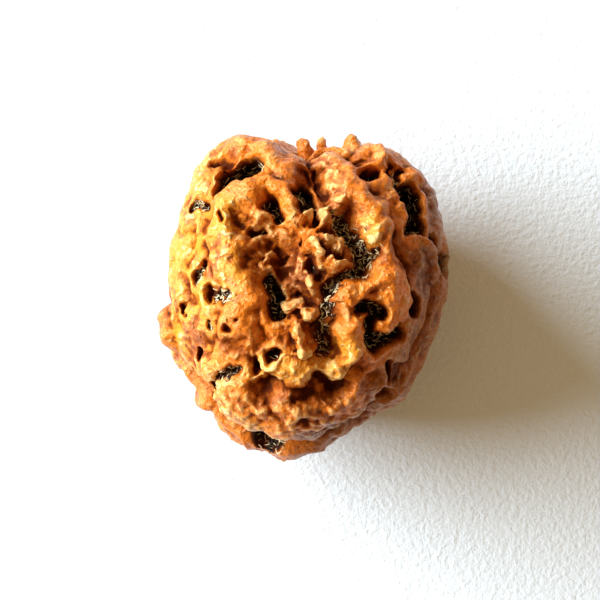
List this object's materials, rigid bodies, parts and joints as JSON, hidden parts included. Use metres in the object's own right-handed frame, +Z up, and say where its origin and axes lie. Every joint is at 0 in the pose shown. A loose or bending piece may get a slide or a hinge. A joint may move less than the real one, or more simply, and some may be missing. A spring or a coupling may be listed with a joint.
{
  "type": "two mukhi rudraksha bead",
  "caption": "Dried, deeply pitted fruit stone with a groove running round it from end to end, pierced lengthways by a string hole, lying on a small flat spot.",
  "frame": {"origin": "middle of the small flat spot on the lower face, on which the bead rests", "axes": "+Z up out of the table through the upper face, +Y towards the spiny stem end, near enough along the string hole, +X across the bead"},
  "size_m": [0.02, 0.0238, 0.0174],
  "materials": {
    "stone": "waxy, polished by handling, darker in the pits"
  },
  "bodies": {
    "root": {"bead": "stone"}
  },
  "joints": []
}
